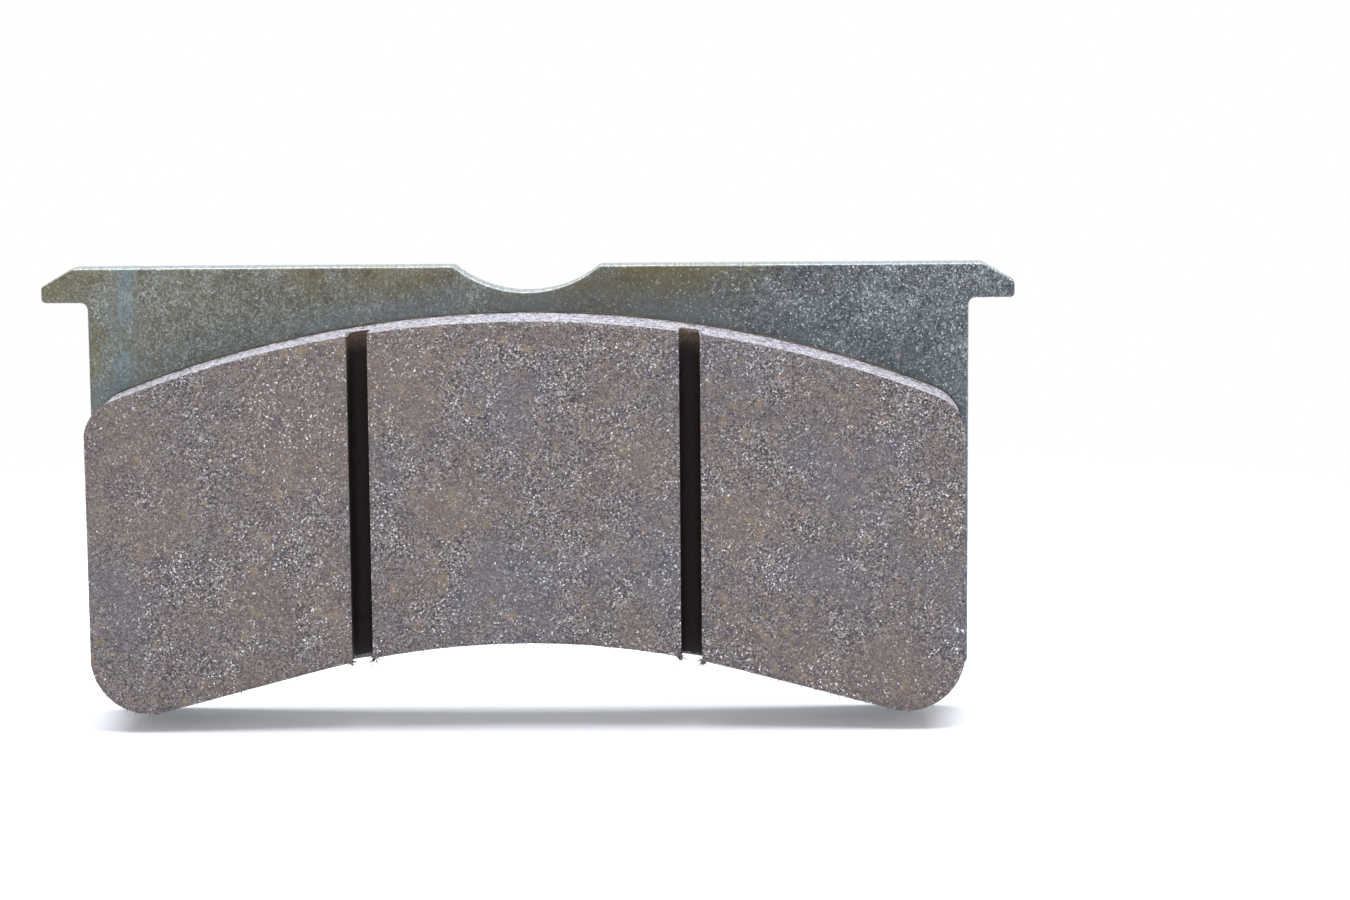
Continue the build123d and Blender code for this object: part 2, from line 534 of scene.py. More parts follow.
@dataclass(frozen=True)
class PlatedSteel:
    """Zinc-plated steel: a peened, stained face and a bright sheared rim."""

    gap: CrownGap
    top: float
    steel: tuple = (
        (0.22, linear(78, 78, 72)),
        (0.42, linear(104, 106, 99)),
        (0.56, linear(124, 127, 121)),
        (0.72, linear(160, 165, 163)),
        (0.90, linear(214, 220, 222)),
    )
    peening: tuple = (
        (0.26, linear(58, 64, 72)),
        (0.44, linear(90, 96, 103)),
        (0.56, linear(114, 120, 127)),
        (0.70, linear(156, 163, 171)),
        (0.86, linear(222, 228, 235)),
    )
    olive: tuple = linear(110, 100, 64)
    brown: tuple = linear(88, 68, 46)
    dark_olive: tuple = linear(84, 82, 72)
    teal: tuple = linear(116, 140, 154)
    arc_painted_sheen: tuple = linear(104, 118, 126)
    pink: tuple = linear(172, 152, 150)
    rim_dark: tuple = linear(126, 136, 142)
    rim_pale: tuple = linear(172, 181, 185)

    def face(self, graph: Graph, tone: Term, fine: Term, mottle: Term, peened: Term) -> Term:
        """The face's colour: plain steel on the left, peened steel on the right, its stains, and a painted sheen
        above the lining's crown.
        """
        across, _, height = graph.axes
        below_top = self.top - height
        blotch = graph.noise(1.5, 3, 0.6) - 0.5
        value = 0.48 + 0.34 * (tone - 0.5) + 0.75 * (fine - 0.5) + 0.30 * (mottle - 0.5) + 0.25 * blotch
        colour = graph.mix(peened, graph.ramp(value, list(self.steel)), graph.ramp(value, list(self.peening)))

        shade = across.step(-10.0, 4.0) * across.step(40.0, 18.0) * (0.4 + 0.6 * mottle)
        colour = graph.mix(0.75 * shade, colour, self.dark_olive)
        upper = below_top.step(8.0, 0.5) * graph.noise(7, 4, 0.6).step(0.36, 0.60) * across.step(46.0, 26.0)
        upright = graph.stretched(1.5, 1.0, 0.45)
        left = across.step(-40.0, -60.0) * graph.noise(3.5, 3, 0.6, upright).step(0.44, 0.62)
        ear = across.step(-58.5, -60.5) * (0.5 + 0.5 * mottle)
        colour = graph.mix(upper.larger(left).larger(ear) * (0.30 + 0.35 * tone), colour, self.olive)
        spot = below_top.step(5.0, 0.0) * graph.noise(2.2, 4, 0.65).step(0.53, 0.66)
        colour = graph.mix(spot * 0.55, colour, self.brown)

        # A bluish painted sheen in a band just above the lining's crown arc.
        band = self.gap.on(graph).step(5.5, 0.5) * (0.35 + 0.65 * graph.noise(6, 2).step(0.35, 0.6))
        colour = graph.mix(0.5 * band, colour, self.arc_painted_sheen)
        strip_width = (across + 55.0 + 2.4 * (graph.noise(5, 3) - 0.5)).unsigned()
        strip = strip_width.step(3.0, 0.4) * (0.2 + 0.8 * graph.noise(1.4, 4, 0.65, upright).step(0.38, 0.60))
        colour = graph.mix(strip * (0.35 + 0.35 * tone), colour, self.teal)
        _, _, chance, reach = graph.cells(3.1)
        return graph.mix(0.6 * reach.step(0.15, 0.07) * chance.step(0.84, 0.86), colour, self.pink)

    def make(self) -> bpy.types.Material:
        """The material; it reads the attribute rim of the plate's mesh."""
        graph = Graph(bpy.data.materials.new("plated_steel"))
        across = graph.axes[0]
        tone, _, spark, _ = graph.cells(0.17, graph.warped(0.4, 0.25))
        fine = graph.noise(0.32, 3, 0.65, graph.stretched(1.0, 1.0, 0.7))
        mottle = graph.noise(4.5, 3, 0.55)
        peened = (across + 14 * (mottle - 0.5)).step(12.0, 36.0)
        colour = self.face(graph, tone, fine, mottle, peened)
        # Bright facets of the peened face are painted glints, with lower roughness there too.
        facet_glint = spark.step(0.965, 0.985) * (0.35 + 0.65 * peened)
        scratch = graph.noise(0.34, 1, 0.5, graph.turned(62, 7)).step(0.76, 0.79)
        colour = graph.mix(facet_glint.larger(scratch * 0.6) * 0.8, colour, self.peening[-1][1])
        rim = graph.attribute("rim").step(0.1, 0.6)
        streak = graph.noise(0.32, 3, 0.6, graph.stretched(1.0, 0.06, 1.0))
        rim_colour = graph.mix(streak.step(0.34, 0.62), self.rim_dark, self.rim_pale)
        colour = graph.mix(rim, colour, rim_colour)
        grain = graph.bump(tone * (0.4 + peened) + fine, 0.03)
        waves = graph.bump(mottle, 0.2, grain)
        roughness = 0.5 - 0.2 * facet_glint - 0.14 * rim + 0.1 * (mottle - 0.5)
        return graph.finish(Base_Color=colour, Roughness=roughness, Metallic=0.62 + 0.25 * rim, Normal=waves)


# ---------------------------------------------------------------------------------------------
# Outlines
# ---------------------------------------------------------------------------------------------


def box_mm(node: str) -> tuple:
    """A CAD node's lowest and highest corners in millimetres, as arrays."""
    low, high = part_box(node)
    return np.array(low) / METRES, np.array(high) / METRES


def close_to_ends(low: float, high: float, step: float, first: float) -> np.ndarray:
    """Places from low to high: first apart at each end, half as much again each time up to step.

    Args:
        low: first place.
        high: last place.
        step: distance between places along the middle.
        first: distance between the places at each end.

    Returns:
        Rising places, both ends among them.
    """
    growth = 1.5
    count = int(math.log(step / first, growth)) + 1
    run = np.concatenate([[0], np.cumsum(first * growth ** np.arange(count))])
    middle = np.linspace(low + run[-1], high - run[-1], max(round((high - low - 2 * run[-1]) / step), 1) + 1)
    return np.concatenate([low + run[:-1], middle, high - run[-2::-1]])


def resampled(loop: np.ndarray, step: float) -> np.ndarray:
    """The closed loop with points evenly spaced along it, about step apart, (n, 2)."""
    closed = np.concatenate([loop, loop[:1]])
    travelled = np.concatenate([[0], np.cumsum(np.linalg.norm(np.diff(closed, axis=0), axis=1))])
    stops = np.linspace(0, travelled[-1], round(travelled[-1] / step), endpoint=False)
    return np.stack([np.interp(stops, travelled, closed[:, axis]) for axis in range(2)], axis=-1)


def outward(loop: np.ndarray) -> np.ndarray:
    """Unit normals of an anticlockwise closed loop: its central differences turned by a right angle."""
    along = np.roll(loop, -1, axis=0) - np.roll(loop, 1, axis=0)
    along /= np.linalg.norm(along, axis=1, keepdims=True)
    return np.stack([along[:, 1], -along[:, 0]], axis=-1)


def filleted(corners: np.ndarray, samples: int = 12) -> np.ndarray:
    """A closed outline with its corners rounded.

    With c the unit vector into the turn and m the unit vector along it, a point of a round is
    centre - r cos(p) c + r sin(p) m, for p from minus to plus half the turn, where the centre lies
    r / cos(half turn) from the corner along c.

    Args:
        corners: (n, 3) of x, z and the radius of the round there, 0 for none.
        samples: points on each round.

    Returns:
        Points of the outline, (m, 2).
    """
    places, radius = corners[:, :2], corners[:, 2:, None]
    ahead = np.roll(places, -1, axis=0) - places
    ahead /= np.linalg.norm(ahead, axis=1, keepdims=True)
    before = np.roll(ahead, 1, axis=0)
    along = (ahead + before) / np.linalg.norm(ahead + before, axis=1, keepdims=True)
    into = ahead - before
    into /= np.maximum(np.linalg.norm(into, axis=1, keepdims=True), 1e-9)
    half = np.arccos(np.clip(np.sum(ahead * along, axis=1), -1, 1))[:, None, None]
    angle = half * np.linspace(-1, 1, samples)[None, :, None]
    rounds = places[:, None] + into[:, None] * radius / np.cos(half)
    rounds = rounds - radius * np.cos(angle) * into[:, None] + radius * np.sin(angle) * along[:, None]
    points = rounds.reshape(-1, 2)
    kept = np.linalg.norm(points - np.roll(points, 1, axis=0), axis=1) > 1e-4
    return points[kept]


@dataclass
class LiningOutline:
    """The lining's outline: a crown arc above; an arch, two straight legs and two lobes below."""

    crown_radius: float = 151.0
    crown_round: float = 5.6
    arch_radius: float = 111.0
    arch_rise: float = 9.43
    leg_degrees: float = 14.95
    lobe_round: float = 7.86
    side: float = field(init=False)
    foot: float = field(init=False)
    crown: float = field(init=False)

    def __post_init__(self) -> None:
        """Take the overall sizes from the CAD block, and work out where the arcs meet."""
        low, high = box_mm("friction_block")
        self.side, self.foot, self.crown = high[0], low[2], high[2]
        self.crown_centre = self.crown - self.crown_radius
        self.shoulder_x = self.side - self.crown_round
        inner = self.crown_radius - self.crown_round
        self.shoulder_z = self.crown_centre + math.sqrt(inner**2 - self.shoulder_x**2)
        self.leg = math.radians(self.leg_degrees)
        self.arch_centre = self.foot + self.arch_rise - self.arch_radius
        self.leg_x = self.arch_radius * math.sin(self.leg)
        self.leg_z = self.arch_centre + self.arch_radius * math.cos(self.leg)
        self.lobe_x = self.side - self.lobe_round
        self.lobe_z = self.foot + self.lobe_round

    def upper(self, x: np.ndarray) -> np.ndarray:
        """Height of the outline's top at x: the crown circle, then the shoulder's round."""
        away = np.abs(x)
        crown = self.crown_centre + np.sqrt(self.crown_radius**2 - away**2)
        reach = np.clip(away - self.shoulder_x, 0, self.crown_round)
        shoulder = self.shoulder_z + np.sqrt(self.crown_round**2 - reach**2)
        meets = self.shoulder_x * self.crown_radius / (self.crown_radius - self.crown_round)
        return np.where(away < meets, crown, shoulder)

    def lower(self, x: np.ndarray) -> np.ndarray:
        """Height of the outline's bottom at x: the arch circle, then the leg, then the lobe's round."""
        away = np.abs(x)
        arch = self.arch_centre + np.sqrt(self.arch_radius**2 - away**2)
        leg = self.leg_z - (away - self.leg_x) * math.tan(self.leg)
        reach = np.clip(away - self.lobe_x, -self.lobe_round, self.lobe_round)
        lobe = self.lobe_z - np.sqrt(self.lobe_round**2 - reach**2)
        meets = self.lobe_x - self.lobe_round * math.sin(self.leg)
        return np.where(away < self.leg_x, arch, np.where(away < meets, leg, lobe))

    def loop(self, step: float) -> np.ndarray:
        """The whole outline, anticlockwise in x and z, points about step apart, (n, 2)."""
        x = close_to_ends(-self.side, self.side, 0.4, 0.01)
        below = np.stack([x, self.lower(x)], axis=-1)
        above = np.stack([x, self.upper(x)], axis=-1)[::-1]
        return resampled(np.concatenate([below, above]), step)


def carried(loop: np.ndarray, insets: np.ndarray, levels: np.ndarray) -> np.ndarray:
    """A profile carried round a closed loop, as a grid of points.

    Args:
        loop: the loop's x and z, anticlockwise, (n, 2).
        insets: how far inside the loop each row of the profile lies, (rows,) or (rows, n).
        levels: each row's y, (rows,).

    Returns:
        Points, (rows, n, 3).
    """
    insets = np.broadcast_to(np.reshape(insets, (len(levels), -1)), (len(levels), len(loop)))
    flat = loop - insets[..., None] * outward(loop)
    height = np.broadcast_to(np.reshape(levels, (-1, 1)), insets.shape)
    return np.stack([flat[..., 0], height, flat[..., 1]], axis=-1)


# ---------------------------------------------------------------------------------------------
# Pieces
# ---------------------------------------------------------------------------------------------


def settle(piece: bpy.types.Object, material: bpy.types.Material, slot: str, *nodes: str) -> None:
    """Dress a piece, fix it to the pad, and hide the CAD nodes that it stands for."""
    piece.data.materials.append(material)
    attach(piece, ROOT_BODY)
    if nodes:
        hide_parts(*nodes)
    log.info("%s: %d faces", piece.name, len(piece.data.polygons))


@dataclass
class FrictionBlock:
    """The friction block: a ground face with two dust slots, and rough moulded sides."""

    outline: LiningOutline
    slot_x: float = 22.1
    slot_width: float = 2.75
    slot_depth: float = 4.65
    slot_round: float = 1.1
    slot_flare: float = 0.02
    face_step: float = 0.36
    side_step: float = 0.45
    first_step: float = 0.05
    grain_depth: float = 0.07
    pit_depth: float = 0.22
    chip_depth: float = 0.32
    chip_reach: float = 0.30

    def __post_init__(self) -> None:
        """Take the front and back levels from the CAD block."""
        low, high = box_mm("friction_block")
        self.face, self.back = low[1], high[1]

    def slot_profile(self) -> tuple:
        """Across one slot: x from its middle and depth, down a wall, round the bottom and up."""
        straight = self.slot_depth - self.slot_round
        wall = close_to_ends(0, straight, 0.4, 0.08)
        bend = np.linspace(0, math.pi / 2, 6)[1:]
        half = self.slot_width / 2
        wall_x = -half + self.slot_flare * wall / self.slot_depth
        bend_x = -half + self.slot_flare + self.slot_round * (1 - np.cos(bend))
        bend_depth = straight + self.slot_round * np.sin(bend)
        x = np.concatenate([wall_x, bend_x])
        depth = np.concatenate([wall, bend_depth])
        return np.concatenate([x, -x[::-1]]), np.concatenate([depth, depth[::-1]])

    def front_profile(self) -> tuple:
        """Across the whole face from left to right: x and depth of each column of points."""
        slot_x, slot_depth = self.slot_profile()
        edge = self.slot_x + self.slot_width / 2
        inner = self.slot_x - self.slot_width / 2
        lands = (
            close_to_ends(-self.outline.side, -edge, self.face_step, self.first_step)[:-1],
            close_to_ends(-inner, inner, self.face_step, self.first_step)[1:-1],
            close_to_ends(edge, self.outline.side, self.face_step, self.first_step)[1:],
        )
        x = np.concatenate([lands[0], slot_x - self.slot_x, lands[1], slot_x + self.slot_x, lands[2]])
        flat = [np.zeros(len(land)) for land in lands]
        depth = np.concatenate([flat[0], slot_depth, flat[1], slot_depth, flat[2]])
        return x, depth

    def mesh(self) -> tuple:
        """The block before wear, as a strip that bends over both long edges for each column.

        A column runs along the lower side from back to front, up the face, and along the upper
        side to the back. Flat grids close the two ends, and one flat face closes the back.

        Returns:
            Points, faces, the distance of each point from the face's edge (0 on it, below 0 on the
            sides), and the depth of each point in a slot as a share.
        """
        x, depth = self.front_profile()
        along = close_to_ends(0, self.back - self.face, self.side_step, 2 * self.first_step)[::-1]
        along = along / along[0]
        nominal = self.outline.crown - self.outline.foot
        up = close_to_ends(0, nominal, self.face_step, self.first_step) / nominal
        lower, upper = self.outline.lower(x)[:, None], self.outline.upper(x)[:, None]
        front = (self.face + depth)[:, None]
        side_y = front + (self.back - front) * along[None, :-1]
        ones = np.ones((1, len(along) - 1))
        face_z = lower + (upper - lower) * up[None, :]
        level = np.concatenate([lower * ones, face_z, upper * ones], axis=1)
        y = np.concatenate([side_y, np.broadcast_to(front, face_z.shape), side_y[:, ::-1]], axis=1)
        strips = np.stack([np.broadcast_to(x[:, None], y.shape), y, level], axis=-1)
        strip_rows, face_rows = len(along) - 1, len(up)
        rows = strips.shape[1]
        index = np.arange(strips.shape[0] * rows).reshape(-1, rows)
        points, faces = [strips.reshape(-1, 3)], [grid_quads(index)]

        edge_reach = np.minimum(up, 1 - up)[None, :] * (upper - lower)
        below = -(side_y - front)
        reach = [np.concatenate([below, edge_reach, below[:, ::-1]], axis=1)]
        inset = self.outline.side - np.abs(x)
        on_face = slice(strip_rows, strip_rows + face_rows)
        reach[0][:, on_face] = np.minimum(reach[0][:, on_face], inset[:, None])
        slot_share = np.broadcast_to((depth / self.slot_depth)[:, None], y.shape).copy()
        slot_share[:, :strip_rows] = 0
        slot_share[:, strip_rows + face_rows :] = 0

        ends, total = [], index.size
        for column in (0, -1):
            grid = np.empty((strip_rows + 1, face_rows), int)
            grid[-1] = index[column, on_face]
            grid[:-1, 0] = index[column, :strip_rows]
            grid[:-1, -1] = index[column, strip_rows + face_rows :][::-1]
            inner = grid[:-1, 1:-1]
            inner[...] = total + np.arange(inner.size).reshape(inner.shape)
            total += inner.size
            y_level = np.broadcast_to(side_y[column][:, None], inner.shape)
            z_level = np.broadcast_to(face_z[column, 1:-1], inner.shape)
            points.append(np.stack([np.full(inner.shape, x[column]), y_level, z_level], axis=-1).reshape(-1, 3))
            reach.append(self.face - y_level)
            faces.append(grid_quads(grid))
            ends.append(grid[0])
        back = np.concatenate([index[:, 0], ends[1][1:-1], index[::-1, -1], ends[0][1:-1][::-1]])
        faces.append(back[None, :])
        reach = np.concatenate([part.ravel() for part in reach])
        slot = np.concatenate([slot_share.ravel(), np.zeros(total - index.size)])
        return np.concatenate(points), faces, reach, slot

    def wear(self, points: np.ndarray, reach: np.ndarray) -> np.ndarray:
        """How far the surface lies under its plain shape: grain, bowls, and chips along the edges."""
        side = reach < 0
        grain = 0.5 + 0.5 * fractal(points, 1.1, 4, 11)
        depth = self.grain_depth * grain * np.where(side, 1.3, 1.0)
        depth += self.pit_depth * bowls(points, 1.7, 0.75, 0.30, 23)
        depth += 0.12 * side * (0.5 + 0.5 * fractal(points, 2.6, 2, 31))
        ragged = 0.18 + 0.82 * np.clip(fractal(points, 1.5, 3, 41) + 0.1, 0, 1) * 1.6
        return depth + self.chip_depth * ragged * np.exp(-((reach / self.chip_reach) ** 2))

    def build(self) -> bpy.types.Object:
        """The worn block, with the attributes side and slot."""
        points, faces, reach, slot = self.mesh()
        piece = make_piece("friction_block_body", points, faces)
        fixed = points[:, 1] > self.back - 1e-6
        sunk = np.where(fixed, 0.25, 1.0)[:, None] * self.wear(points, reach)[:, None]
        move = -vertex_normals(piece) * sunk
        move[fixed, 1] = 0
        move_vertices(piece, points + move)
        set_attribute(piece, "side", (reach < -0.02).astype(float))
        set_attribute(piece, "slot", slot)
        return piece


@dataclass
class LiningBase:
    """What carries the block on the plate: the underlayer with its plugs, and the bond film."""

    outline: LiningOutline
    loop_step: float = 0.35
    plug_radius: float = 4.95
    plug_offsets: tuple = ((15.0, 34.5), (41.05, 28.0))
    bead_width: float = 0.14
    bead_height: float = 0.25

    def __post_init__(self) -> None:
        """Take the layers' levels from the CAD nodes."""
        low, high = box_mm("underlayer")
        self.front, self.plug_end = low[1], high[1]
        low, high = box_mm("bond_film")
        self.film_front, self.film_back = low[1], high[1]

    def underlayer(self) -> bpy.types.Object:
        """The layer's rough rim between two flat faces, and four plugs behind it."""
        loop = self.outline.loop(self.loop_step)
        levels = np.linspace(self.front, self.film_front, 8)
        flat = carried(loop, np.zeros(len(levels)), levels)
        rough = 0.09 * (0.6 + 0.4 * fractal(flat, 1.0, 4, 11)) + 0.10 * (0.5 + 0.5 * fractal(flat, 2.6, 2, 31))
        rough += 0.12 * bowls(flat, 1.7, 0.75, 0.3, 23)
        grid = carried(loop, rough, levels)
        index = np.arange(grid[..., 0].size).reshape(grid.shape[:2])
        points, faces = [grid.reshape(-1, 3)], [grid_quads(index, closed=True), index[:1], index[-1:]]
        total = index.size
        turn = np.linspace(0, 2 * math.pi, 64, endpoint=False)
        ring = np.stack([np.cos(turn), np.sin(turn)], axis=-1)
        plug_levels = np.array([self.film_front, self.plug_end - 0.25, self.plug_end - 0.07, self.plug_end])
        plug_insets = np.array([0.0, 0.0, 0.07, 0.25])
        for offset, height in self.plug_offsets:
            for side in (-1, 1):
                circle = ring * self.plug_radius + (side * offset, height)
                plug = carried(circle, plug_insets, plug_levels)
                index = total + np.arange(plug[..., 0].size).reshape(plug.shape[:2])
                points.append(plug.reshape(-1, 3))
                faces += [grid_quads(index, closed=True), index[:1], index[-1:]]
                total += index.size
        return make_piece("underlayer_body", np.concatenate(points), faces, smooth_degrees=40)

    def film(self) -> bpy.types.Object:
        """The film and its squeezed-out bead: a quarter ellipse of uneven width round the lining."""
        loop = self.outline.loop(self.loop_step)
        turn = np.linspace(math.pi / 2, 0, 6)
        swell = 1 + 0.6 * fractal(carried(loop, np.zeros(1), np.zeros(1)), 5.0, 3, 53)[0]
        bead = -self.bead_width * swell[None, :] * np.cos(turn)[:, None]
        inner = np.full((1, len(loop)), 0.6)
        insets = np.concatenate([inner, bead, inner])
        top = self.film_back - self.bead_height * np.sin(turn)
        levels = np.concatenate([top[:1], top, top[-1:]])
        grid = carried(loop, insets, levels)
        index = np.arange(grid[..., 0].size).reshape(grid.shape[:2])
        faces = [grid_quads(index, closed=True), index[:1], index[-1:]]
        return make_piece("bond_film_bead", grid.reshape(-1, 3), faces, smooth_degrees=50)


@dataclass
class BackingPlate:
    """The stamped steel plate: ears, notch, arch and cut corners, with punched retention holes."""

    side: float = 59.75
    ear_height: float = 4.7
    ear_slope: tuple = (4.3, 2.5)
    notch_width: float = 19.9
    notch_depth: float = 3.55
    corner_cut: tuple = (7.55, 7.3)
    foot_level: float = -0.167
    arch_rise: float = 9.95
    hole_radius: float = 5.0
    hole_offsets: tuple = ((15.0, 34.5), (41.05, 28.0))
    die_roll: float = 0.35
    shear_share: float = 0.62
    break_inset: float = 0.10
    rim_step: float = 0.22
    face_step: float = 1.2
    streak_depth: float = 0.022

    def __post_init__(self) -> None:
        """Take the overall size and the levels from the CAD plate."""
        low, high = box_mm("backing_plate")
        self.tip, self.front, self.back, self.top = high[0], low[1], high[1], high[2]

    @staticmethod
    def arc(half_width: float, ends: float, rise: float, chords: int) -> np.ndarray:
        """Points from left to right on the arc through two ends at one level and a middle rise above.

        Its radius is (half_width^2 + rise^2) / (2 rise), and a rise below 0 turns it over.
        """
        radius = (half_width**2 + rise**2) / (2 * rise)
        reach = math.atan2(half_width, radius - rise) if rise > 0 else math.atan2(half_width, rise - radius)
        angle = np.linspace(-reach, reach, chords + 1)
        return np.stack(
            [abs(radius) * np.sin(angle), ends + rise - radius + radius * np.cos(angle)], axis=-1
        )

    def outline(self) -> np.ndarray:
        """The plate's outline, anticlockwise in x and z, evenly spaced, (n, 2)."""
        foot_x = self.side - self.corner_cut[0]
        under_ear = self.top - self.ear_height
        right = np.array([
            (foot_x, self.foot_level, 1.0),
            (self.side, self.foot_level + self.corner_cut[1], 1.0),
            (self.side, under_ear, 1.0),
            (self.tip, under_ear, 0.6),
            (self.tip, self.top - self.ear_slope[1], 0.6),
            (self.tip - self.ear_slope[0], self.top, 0.8),
            (self.notch_width / 2, self.top, 1.0),
        ])
        left = right[::-1] * (-1, 1, 1)
        arch = self.arc(foot_x, self.foot_level, self.arch_rise, 80)[1:-1]
        notch = self.arc(self.notch_width / 2, self.top, -self.notch_depth, 14)[1:-1][::-1]
        plain = [np.column_stack([part, np.zeros(len(part))]) for part in (arch, notch)]
        return resampled(filleted(np.concatenate([plain[0], right, plain[1], left])), self.rim_step)

    def rim_profile(self) -> tuple:
        """Inset and level of each row of the rim: die roll, sheared band, broken band, back edge."""
        roll = np.linspace(0, math.pi / 2, 6)
        end = self.back - 0.12
        shear_end = self.front + self.shear_share * (self.back - self.front)
        shear = np.linspace(self.front + self.die_roll, shear_end, 5)[1:]
        broken = np.linspace(shear_end, end, 4)[1:]
        insets = np.concatenate([
            self.die_roll * (1 - np.sin(roll)),
            np.zeros(len(shear)),
            self.break_inset * np.array([0.7, 0.9, 1.0]),
            [self.break_inset + 0.05, self.break_inset + 0.14],
        ])
        levels = np.concatenate([
            self.front + self.die_roll * (1 - np.cos(roll)), shear, broken, [self.back - 0.03, self.back]
        ])
        return insets, levels

    def covered(self, loop: np.ndarray) -> np.ndarray:
        """Points of a square lattice inside the loop, clear of it and of the holes, (n, 2)."""
        low, high = loop.min(axis=0), loop.max(axis=0)
        axes = [np.arange(low[k] + self.face_step / 2, high[k], self.face_step) for k in range(2)]
        lattice = np.stack(np.meshgrid(*axes), axis=-1).reshape(-1, 2)
        start, end = loop, np.roll(loop, -1, axis=0)
        spans = (start[:, 1] > lattice[:, 1:]) != (end[:, 1] > lattice[:, 1:])
        rise = end[:, 1] - start[:, 1]
        share = (lattice[:, 1:] - start[:, 1]) / np.where(rise == 0, 1, rise)
        crossed = spans & (lattice[:, :1] < start[:, 0] + share * (end[:, 0] - start[:, 0]))
        inside = crossed.sum(axis=1) % 2 == 1
        near = np.min(np.linalg.norm(lattice[:, None] - loop[None, ::3], axis=-1), axis=1)
        clear = inside & (near > 0.5 * self.face_step)
        for centre in self.hole_centres():
            clear &= np.linalg.norm(lattice - centre, axis=1) > self.hole_radius + 0.5 * self.face_step
        return lattice[clear]

    def hole_centres(self) -> list:
        """The centre of each retention hole, as x and z."""
        return [np.array((side * x, z)) for x, z in self.hole_offsets for side in (-1, 1)]

    def face_triangles(self, rim: np.ndarray, holes: np.ndarray, lattice: np.ndarray) -> np.ndarray:
        """Triangles over a flat face with holes, between its rim, its holes and the lattice.

        A triangle with all three corners on one hole's ring lies in that hole, and is left out.

        Args:
            rim: the rim's points, (n, 2).
            holes: each hole's points, (holes, m, 2).
            lattice: free points inside, (k, 2).

        Returns:
            Indices into rim, holes and lattice one after another, (triangles, 3).
        """
        points = np.concatenate([rim, holes.reshape(-1, 2), lattice])
        loops = [np.arange(len(rim))]
        loops += [len(rim) + k * holes.shape[1] + np.arange(holes.shape[1]) for k in range(len(holes))]
        edges = [pair for loop in loops for pair in np.stack([loop, np.roll(loop, -1)], axis=-1).tolist()]
        vectors = [Vector(point) for point in points.tolist()]
        _, _, found, origins, _, _ = geometry.delaunay_2d_cdt(vectors, edges, [], 1, 1e-6)
        origin = np.array([source[0] for source in origins])
        triangles = origin[np.array(found)]
        hole_of = (triangles - len(rim)) // holes.shape[1]
        in_hole = (hole_of == hole_of[:, :1]).all(axis=1) & (hole_of[:, 0] >= 0) & (hole_of[:, 0] < len(holes))
        return triangles[~in_hole]

    def build(self) -> bpy.types.Object:
        """The plate, with the attribute rim."""
        loop = self.outline()
        insets, levels = self.rim_profile()
        flat = carried(loop, insets, levels)
        streak = fractal(flat * (1, 0.05, 1), 0.9, 3, 61)
        worn = self.streak_depth * (streak - 0.3) + 0.03 * fractal(flat, 3.0, 2, 67)
        fade = np.clip(np.minimum(levels - self.front, self.back - levels) / 0.5, 0, 1)[:, None]
        rim = carried(loop, insets[:, None] + worn * fade, levels)
        turn = np.linspace(0, 2 * math.pi, 72, endpoint=False)
        ring = np.stack([np.cos(turn), np.sin(turn)], axis=-1)
        circles = np.array([ring * self.hole_radius + centre for centre in self.hole_centres()])
        lattice = self.covered(loop)

        rows, count = rim.shape[:2]
        points, faces = [rim.reshape(-1, 3)], [grid_quads(np.arange(rows * count).reshape(rows, count), closed=True)]
        total = rows * count
        rims, hole_index = [np.arange(count), (rows - 1) * count + np.arange(count)], []
        for level, edge in zip((self.front, self.back), rims):
            outline = points[0][edge][:, [0, 2]]
            triangles = self.face_triangles(outline, circles, lattice)
            holes = total + np.arange(circles.shape[0] * circles.shape[1])
            inner = holes[-1] + 1 + np.arange(len(lattice))
            both = np.concatenate([circles.reshape(-1, 2), lattice])
            sheet = np.column_stack([both[:, 0], np.full(len(both), level), both[:, 1]])
            sheet[len(holes) :, 1] += 0.02 * fractal(sheet[len(holes) :], 14.0, 3, 71)
            points.append(sheet)
            faces.append(np.concatenate([edge, holes, inner])[triangles])
            hole_index.append(holes.reshape(circles.shape[:2]))
            total += len(both)
        faces += [grid_quads(np.stack(pair), closed=True) for pair in zip(*hole_index)]
        piece = make_piece("backing_plate_body", np.concatenate(points), faces, smooth_degrees=38)
        rim_share = np.zeros(total)
        share = np.minimum((levels - self.front) / self.die_roll, (self.back - levels) / 0.03)
        rim_share[: rows * count] = np.repeat(np.clip(share, 0, 1), count)
        set_attribute(piece, "rim", rim_share)
        return piece


